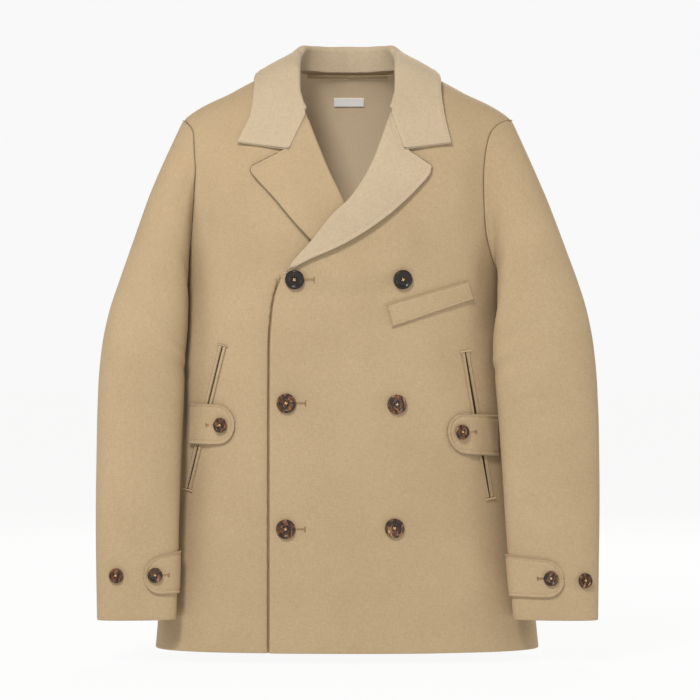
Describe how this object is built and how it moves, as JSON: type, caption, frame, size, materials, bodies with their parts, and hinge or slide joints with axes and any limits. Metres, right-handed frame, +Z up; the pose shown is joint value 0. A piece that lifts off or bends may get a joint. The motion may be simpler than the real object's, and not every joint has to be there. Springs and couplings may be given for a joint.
{
  "type": "pea coat",
  "caption": "Double-breasted hip-length wool coat, worn shape held open and hollow, notched lapels, slanted pockets, buttoned waist and cuff straps.",
  "frame": {"origin": "centre of the wearer's neck at the level of the shoulder neck seam, where the coat hangs from the shoulders", "axes": "+Z up, +X to the coat's own left, -Y out of the front"},
  "size_m": [0.6459, 0.2384, 0.7833],
  "materials": {
    "wool": "matte",
    "lining": "satin",
    "label": "matte",
    "horn": "gloss"
  },
  "bodies": {
    "root": {"front_right": "wool", "front_left": "wool", "back": "wool", "sleeve_right": "wool", "sleeve_left": "wool", "lapel_right": "wool", "lapel_left": "wool", "collar": "wool", "back_lining": "lining", "neck_tape": "lining", "label": "label", "pocket_lip_right_a": "wool", "pocket_lip_right_b": "wool", "pocket_lip_left_a": "wool", "pocket_lip_left_b": "wool", "waist_tab_right": "wool", "waist_tab_left": "wool", "cuff_tab_right": "wool", "cuff_tab_left": "wool", "breast_welt": "wool", "button_front_top_right": "horn", "button_front_top_left": "horn", "button_front_middle_right": "horn", "button_front_middle_left": "horn", "button_front_low_right": "horn", "button_front_low_left": "horn", "button_waist_right": "horn", "button_waist_left": "horn", "button_cuff_tab_right": "horn", "button_cuff_tab_left": "horn", "button_cuff_outer_right": "horn", "button_cuff_outer_left": "horn"}
  },
  "joints": []
}
